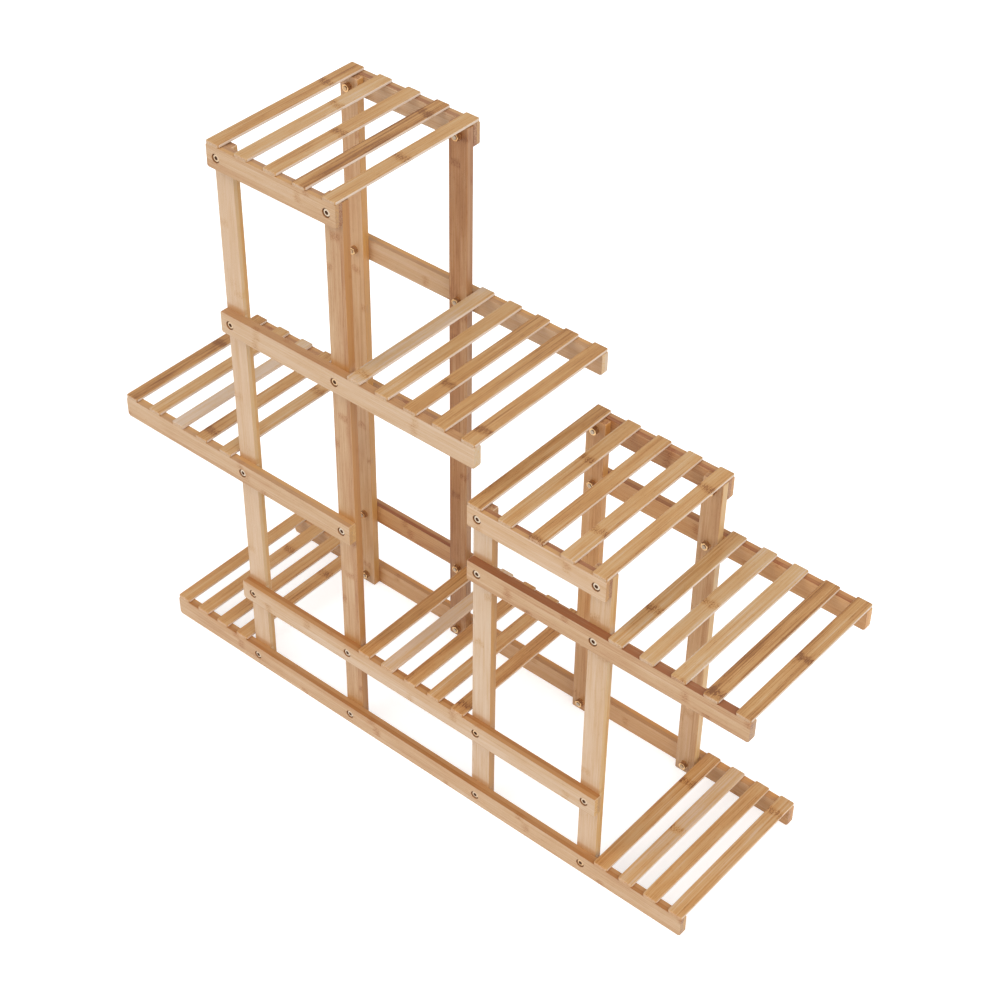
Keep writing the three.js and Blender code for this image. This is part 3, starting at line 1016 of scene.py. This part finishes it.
slatLayout = {
    "edges": {"Edge rounding": 1.3, "End roll": 1.2, "Corner ease": 2.2},   # mm
    "sides": (0.07, 0.52, 0),     # shades of the long narrow sides and of the ends
    "firstNumber": 60,
    "rowStep": 7,                 # from the numbers of one row to those of the next
    # how warm the row is, its own tone and painted warm bounce light on the lower shelves,
    # then shade and place of the knuckle, in mm from the front end, of each slat from the left
    "rows": {
        "level_1_left_slat": (0.5, [("honey", 310), ("honey", 180), ("honey", 290), ("honey", 175)]),
        "level_1_right_slat": (0.5, [("honey", 192), ("blond", 117), ("wheat", 300), ("straw", 224)]),
        "level_2_slat": (0.5, [("amber", 300), ("ash", 330), ("amber", 290), ("honey", 305), ("amber", 21)]),
        "level_3_slat": (0, [("caramel", 170), ("honey", 310), ("ash", 330), ("amber", 25), ("honey", 180)]),
        "level_4_slat": (0, [("honey", 79), ("straw", 130), ("straw", 2), ("caramel", 15), ("amber", 126)]),
        "level_5_slat": (0.1, [("amber", 320), ("honey", 160), ("amber", 6), ("wheat", 65), ("honey", 210)]),
        "level_6_slat": (0, [("blond", 22), ("honey", 300), ("amber", 73), ("amber", 310), ("amber", 33)]),
        "level_7_slat": (0, [
            ("amber", 196), ("straw", 164), ("honey", 120), ("caramel", 219), ("honey", 126),
        ]),
    },
}


def makeSlatRow(tree, base, look, row):
    warmthAndBounce, traits = look["rows"][base]
    nodes = [f"{base}_{i + 1}" for i in range(len(traits))]
    corners = [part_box(node) for node in nodes]
    low, high = corners[0]
    spots = [((a.x + b.x) / 2, (a.y + b.y) / 2, a.z) for a, b in corners]
    halfLength = (high.y - low.y) / 2 / mm
    form = (halfLength, (high.x - low.x) / 2 / mm, warmthAndBounce)
    firstNumber = look["firstNumber"] + look["rowStep"] * row
    boards = []
    for i, (shade, knuckle) in enumerate(traits):
        boards.append((shades[shade], knuckle - halfLength, firstNumber + i))
    attributes = {"board": boards, "form": [form] * len(spots), "sides": [look["sides"]] * len(spots)}
    inputs = {name: size * mm for name, size in look["edges"].items()}
    inputs.update({
        "Slat width": high.x - low.x,
        "Slat length": high.y - low.y,
        "Slat thickness": high.z - low.z,
        "Material": planedBamboo,
    })
    growPiece(base + "Row", tree, spots, attributes, inputs, "slat_bamboo", nodes)


slats = slatTree()
for row, base in enumerate(slatLayout["rows"]):
    makeSlatRow(slats, base, slatLayout, row)
print("slats made,", len(slatLayout["rows"]), "rows")


def pinTree():
    # a round pin on +Z from 0, its top rim rounded over
    tree, given = newTree("roundedPin", [
        ("Diameter", lengthSocket, 6 * mm),
        ("Height", lengthSocket, 3 * mm),
        ("Rim", lengthSocket, 0.5 * mm),
        ("Sides", "NodeSocketInt", 40),
    ])
    diameter, height, rim, sides = given.outputs[1:5]
    radius = addNode(tree, "ShaderNodeMath", [diameter, 0.5], operation="MULTIPLY")
    blank = addNode(tree, "GeometryNodeMeshCylinder", {
        "Vertices": sides, "Side Segments": 5, "Radius": radius, "Depth": height,
    }, fill_type="NGON")
    at = addNode(tree, "ShaderNodeSeparateXYZ", [addNode(tree, "GeometryNodeInputPosition")])
    rise = addNode(tree, "ShaderNodeMath", [at.outputs["Z"], height], operation="DIVIDE")
    rise = addNode(tree, "ShaderNodeMath", [rise, 0.5], operation="ADD")
    turn = addNode(tree, "ShaderNodeMath", [rise, math.pi / 2], operation="MULTIPLY")
    sine = addNode(tree, "ShaderNodeMath", [turn], operation="SINE")
    cosine = addNode(tree, "ShaderNodeMath", [turn], operation="COSINE")
    wall = addNode(tree, "ShaderNodeMath", [height, rim], operation="SUBTRACT")
    curved = addNode(tree, "ShaderNodeMath", [sine, rim, wall], operation="MULTIPLY_ADD")
    steep = 1000.0            # so that only the base ring stays down
    fromBase = addNode(tree, "ShaderNodeMath", [rise, steep], operation="MULTIPLY")
    newZ = addNode(tree, "ShaderNodeMath", [curved, fromBase], operation="MINIMUM")
    lost = addNode(tree, "ShaderNodeMath", [1.0, cosine], operation="SUBTRACT")
    lost = addNode(tree, "ShaderNodeMath", [lost, rim], operation="MULTIPLY")
    lostShare = addNode(tree, "ShaderNodeMath", [lost, radius], operation="DIVIDE")
    kept = addNode(tree, "ShaderNodeMath", [1.0, lostShare], operation="SUBTRACT")
    newX = addNode(tree, "ShaderNodeMath", [at.outputs["X"], kept], operation="MULTIPLY")
    newY = addNode(tree, "ShaderNodeMath", [at.outputs["Y"], kept], operation="MULTIPLY")
    place = addNode(tree, "ShaderNodeCombineXYZ", [newX, newY, newZ])
    shaped = addNode(tree, "GeometryNodeSetPosition", {"Geometry": blank, "Position": place})
    addNode(tree, "NodeGroupOutput", [shaped])
    return tree


roundedPin = pinTree()


def facePlace(tree):
    # height of a face, its distance from the axis, and how upright it stands, 1 or 0
    at = addNode(tree, "ShaderNodeSeparateXYZ", [addNode(tree, "GeometryNodeInputPosition")])
    flat = addNode(tree, "ShaderNodeCombineXYZ", [at.outputs["X"], at.outputs["Y"]])
    radius = addNode(tree, "ShaderNodeVectorMath", [flat], operation="LENGTH")
    normal = addNode(tree, "ShaderNodeSeparateXYZ", [addNode(tree, "GeometryNodeInputNormal")])
    slope = addNode(tree, "ShaderNodeMath", [normal.outputs["Z"]], operation="ABSOLUTE")
    upright = addNode(tree, "ShaderNodeMath", [slope, boltSizes["uprightSlope"]], operation="LESS_THAN")
    return at.outputs["Z"], radius.outputs["Value"], upright


def finishFastener(tree, given, shape, recess, sunk, turn=(0, 0, 0)):
    # shape: one fastener on +Z; its painted shade by face, how deep it sits and its own turn
    marked = addNode(tree, "GeometryNodeStoreNamedAttribute", {
        "Geometry": shape, "Name": "recess", "Value": recess,
    }, data_type="FLOAT", domain="FACE")
    down = addNode(tree, "ShaderNodeMath", [sunk, -1.0], operation="MULTIPLY")
    place = addNode(tree, "ShaderNodeCombineXYZ", {"Z": down})
    single = addNode(tree, "GeometryNodeTransform", {
        "Geometry": marked, "Translation": place, "Rotation": turn,
    })
    # half of them, by chance, are plated more or less yellow
    seed = given.outputs["Seed"]
    otherSeed = addNode(tree, "ShaderNodeMath", [seed, boltSizes["platingSeed"]], operation="ADD")
    plating = addNode(tree, "FunctionNodeRandomValue", {
        2: -1.0, 3: 1.0, "Seed": otherSeed,
    }, data_type="FLOAT")
    onlySome = addNode(tree, "ShaderNodeMath", [plating.outputs[1], 0.0], operation="MAXIMUM")
    plated = addNode(tree, "GeometryNodeStoreNamedAttribute", {
        "Geometry": given.outputs["Geometry"], "Name": "plating", "Value": onlySome,
    }, data_type="FLOAT", domain="POINT")
    # one at each spot, its +Z outward, turned by chance about it
    facing = addNode(tree, "GeometryNodeInputNamedAttribute", {"Name": "facing"}, data_type="FLOAT_VECTOR")
    aligned = addNode(tree, "FunctionNodeAlignRotationToVector", {"Vector": facing}, axis="Z")
    chance = addNode(tree, "FunctionNodeRandomValue", {2: 0.0, 3: math.tau, "Seed": seed}, data_type="FLOAT")
    spin = addNode(tree, "FunctionNodeAxisAngleToRotation", {"Axis": (0, 0, 1), "Angle": chance.outputs[1]})
    turned = addNode(tree, "FunctionNodeRotateRotation", {
        "Rotation": aligned, "Rotate By": spin,
    }, rotation_space="LOCAL")
    placed = addNode(tree, "GeometryNodeInstanceOnPoints", {
        "Points": plated, "Instance": single, "Rotation": turned,
    })
    finishTree(tree, given, placed)
    return tree


fastenerSockets = [("Seed", "NodeSocketInt", 4), ("Material", "NodeSocketMaterial", None)]


def boltTree(sizes):
    tree, given = newTree("boltRow", [
        ("Head diameter", lengthSocket, 10.5 * mm),
        ("Head height", lengthSocket, 3 * mm),
        ("Head rounding", lengthSocket, 0.7 * mm),
        ("Head seat", lengthSocket, 5 * mm),
        ("Shank diameter", lengthSocket, 6 * mm),
        ("Shank length", lengthSocket, 26 * mm),
        ("Socket radius", lengthSocket, 2.9 * mm),
        ("Socket depth", lengthSocket, 1.8 * mm),
    ] + fastenerSockets)
    headHeight, shankLength = given.outputs["Head height"], given.outputs["Shank length"]
    socketRadius = given.outputs["Socket radius"]
    head = addNode(tree, "GeometryNodeGroup", {
        "Diameter": given.outputs["Head diameter"],
        "Height": headHeight,
        "Rim": given.outputs["Head rounding"],
    }, node_tree=roundedPin)
    overlap = sizes["shankOverlap"] * mm
    standing = addNode(tree, "GeometryNodeGroup", {
        "Diameter": given.outputs["Shank diameter"],
        "Height": addNode(tree, "ShaderNodeMath", [shankLength, overlap], operation="ADD"),
        "Rim": sizes["studRound"] * mm,
    }, node_tree=roundedPin)
    shank = addNode(tree, "GeometryNodeTransform", {
        "Geometry": standing, "Rotation": (math.pi, 0, 0), "Translation": (0, 0, overlap),
    })
    solid = addNode(tree, "GeometryNodeMeshBoolean", {
        "Mesh 2": [head, shank],
    }, operation="UNION", solver="EXACT")
    twiceDepth = addNode(tree, "ShaderNodeMath", [given.outputs["Socket depth"], 2.0], operation="MULTIPLY")
    hexagon = addNode(tree, "GeometryNodeMeshCylinder", {
        "Vertices": 6, "Radius": socketRadius, "Depth": twiceDepth,
    }, fill_type="NGON")
    topPlace = addNode(tree, "ShaderNodeCombineXYZ", {"Z": headHeight})
    socket = addNode(tree, "GeometryNodeTransform", {"Geometry": hexagon, "Translation": topPlace})
    cut = addNode(tree, "GeometryNodeMeshBoolean", {
        "Mesh 1": solid, "Mesh 2": socket,
    }, operation="DIFFERENCE", solver="EXACT")

    # painted shade: in the socket, then on the upright walls of the head, then on the stud
    height, radius, upright = facePlace(tree)
    top = addNode(tree, "ShaderNodeMath", [headHeight, sizes["topBand"] * mm], operation="SUBTRACT")
    below = addNode(tree, "ShaderNodeMath", [height, top], operation="LESS_THAN")
    inner = addNode(tree, "ShaderNodeMath", [radius, socketRadius], operation="LESS_THAN")
    above = addNode(tree, "ShaderNodeMath", [height, 0.0], operation="GREATER_THAN")
    inSocket = addNode(tree, "ShaderNodeMath", [below, inner], operation="MULTIPLY")
    recess = addNode(tree, "ShaderNodeMath", [inSocket, above], operation="MULTIPLY")
    wall = addNode(tree, "ShaderNodeMath", [upright, sizes["headPaintedShade"]], operation="MULTIPLY")
    onShank = addNode(tree, "ShaderNodeMath", [height, 0.0], operation="LESS_THAN")
    studShare = addNode(tree, "ShaderNodeMath", [upright, *sizes["studPaintedShade"]], operation="MULTIPLY_ADD")
    stud = addNode(tree, "ShaderNodeMath", [onShank, studShare], operation="MULTIPLY")
    for part in (wall, stud):
        recess = addNode(tree, "ShaderNodeMath", [recess, part], operation="MAXIMUM")
    return finishFastener(tree, given, cut, recess, given.outputs["Head seat"])


def washerTree(sizes):
    tree, given = newTree("washerRow", [
        ("Outer diameter", lengthSocket, 12 * mm),
        ("Hole diameter", lengthSocket, 6.6 * mm),
        ("Thickness", lengthSocket, 1.5 * mm),
        ("Depth", lengthSocket, 23 * mm),
    ] + fastenerSockets)
    outer, hole, thickness, depth = given.outputs[1:5]
    both = addNode(tree, "ShaderNodeMath", [outer, hole], operation="ADD")
    middle = addNode(tree, "ShaderNodeMath", [both, 0.25], operation="MULTIPLY")    # a mean radius
    gap = addNode(tree, "ShaderNodeMath", [outer, hole], operation="SUBTRACT")
    band = addNode(tree, "ShaderNodeMath", [gap, 0.5], operation="MULTIPLY")
    path = addNode(tree, "GeometryNodeCurvePrimitiveCircle", {
        "Resolution": sizes["sides"], "Radius": middle,
    }, mode="RADIUS")
    section = addNode(tree, "GeometryNodeCurvePrimitiveQuadrilateral", {
        "Width": band, "Height": thickness,
    }, mode="RECTANGLE")
    eased = addNode(tree, "GeometryNodeFilletCurve", {
        "Curve": section, "Count": 2, "Radius": sizes["washerEase"] * mm, "Limit Radius": True,
    }, mode="POLY")
    ring = addNode(tree, "GeometryNodeCurveToMesh", {"Curve": path, "Profile Curve": eased})
    halfThickness = addNode(tree, "ShaderNodeMath", [thickness, 0.5], operation="MULTIPLY")
    centre = addNode(tree, "ShaderNodeMath", [depth, halfThickness], operation="ADD")
    # an even painted shade over the whole washer
    return finishFastener(tree, given, ring, sizes["washerPaintedShade"], centre)


def nutTree(sizes):
    tree, given = newTree("nutRow", [
        ("Corner radius", lengthSocket, 5.8 * mm),
        ("Height", lengthSocket, 5 * mm),
        ("Bore diameter", lengthSocket, 6.3 * mm),
        ("Depth", lengthSocket, 24.5 * mm),
    ] + fastenerSockets)
    corner, height, bore, depth = given.outputs[1:5]
    halfHeight = addNode(tree, "ShaderNodeMath", [height, 0.5], operation="MULTIPLY")
    up = addNode(tree, "ShaderNodeCombineXYZ", {"Z": halfHeight})
    hexagon = addNode(tree, "GeometryNodeMeshCylinder", {
        "Vertices": 6, "Radius": corner, "Depth": height,
    }, fill_type="NGON")
    standing = addNode(tree, "GeometryNodeTransform", {"Geometry": hexagon, "Translation": up})
    fullDiameter = addNode(tree, "ShaderNodeMath", [corner, sizes["nutChamferShare"]], operation="MULTIPLY")
    envelope = addNode(tree, "GeometryNodeGroup", {
        "Diameter": fullDiameter, "Height": height, "Rim": sizes["nutChamfer"] * mm,
    }, node_tree=roundedPin)
    chamfered = addNode(tree, "GeometryNodeMeshBoolean", {
        "Mesh 2": [standing, envelope],
    }, operation="INTERSECT", solver="EXACT")
    boreRadius = addNode(tree, "ShaderNodeMath", [bore, 0.5], operation="MULTIPLY")
    threeHeights = addNode(tree, "ShaderNodeMath", [height, 3.0], operation="MULTIPLY")
    hole = addNode(tree, "GeometryNodeMeshCylinder", {
        "Vertices": sizes["nutBoreSides"], "Radius": boreRadius, "Depth": threeHeights,
    }, fill_type="NGON")
    bored = addNode(tree, "GeometryNodeMeshBoolean", {
        "Mesh 1": chamfered, "Mesh 2": hole,
    }, operation="DIFFERENCE", solver="EXACT")
    # painted shade on the upright flats, more on the bore
    _, radius, upright = facePlace(tree)
    inner = addNode(tree, "ShaderNodeMath", [radius, boreRadius], operation="LESS_THAN")
    amount = addNode(tree, "ShaderNodeMath", [inner, *sizes["nutPaintedShade"]], operation="MULTIPLY_ADD")
    recess = addNode(tree, "ShaderNodeMath", [amount, upright], operation="MULTIPLY")
    # the chamfered end looks inward, away from the head
    return finishFastener(tree, given, bored, recess, depth, turn=(math.pi, 0, 0))


def makeFasteners(sizes):
    spots, facings = [], []
    for name in railNames:
        low, high = boxes[name]
        outer, outward = (low.y, -1) if name.endswith("front") else (high.y, 1)
        for x, z in boltPlaces(name):
            spots.append((x, outer, z))
            facings.append((0, outward, 0))
    railLow, railHigh = boxes["level_2_rail_front"]
    boards = 2 * (railHigh.y - railLow.y)
    nutSeat = boards + sizes["washerThickness"] * mm
    headSeat = (sizes["headRecess"] + sizes["headHeight"]) * mm
    boltEnd = nutSeat + (sizes["nutHeight"] + sizes["studEnd"]) * mm
    rows = {
        "hexSocketBolts": (boltTree(sizes), {
            "Head diameter": sizes["headDiameter"] * mm,
            "Head height": sizes["headHeight"] * mm,
            "Head rounding": sizes["headRound"] * mm,
            "Head seat": headSeat,
            "Shank diameter": sizes["shankDiameter"] * mm,
            "Shank length": boltEnd - headSeat,
            "Socket radius": sizes["socketWidth"] / math.sqrt(3) * mm,
            "Socket depth": sizes["socketDepth"] * mm,
            "Seed": sizes["seeds"]["bolt"],
            "Material": zincSteel,
        }),
        "flatWashers": (washerTree(sizes), {
            "Outer diameter": sizes["washerDiameter"] * mm,
            "Hole diameter": sizes["washerHole"] * mm,
            "Thickness": sizes["washerThickness"] * mm,
            "Depth": boards,
            "Seed": sizes["seeds"]["washer"],
            "Material": brassySteel,
        }),
        "hexNuts": (nutTree(sizes), {
            "Corner radius": sizes["nutWidth"] / math.sqrt(3) * mm,
            "Height": sizes["nutHeight"] * mm,
            "Bore diameter": sizes["nutBore"] * mm,
            "Depth": nutSeat,
            "Seed": sizes["seeds"]["nut"],
            "Material": brassySteel,
        }),
    }
    for name, (tree, inputs) in rows.items():
        growPiece(name, tree, spots, {"facing": facings}, inputs, "fastener_steel", legNames)
    print("fasteners made,", len(spots), "of each")


makeFasteners(boltSizes)
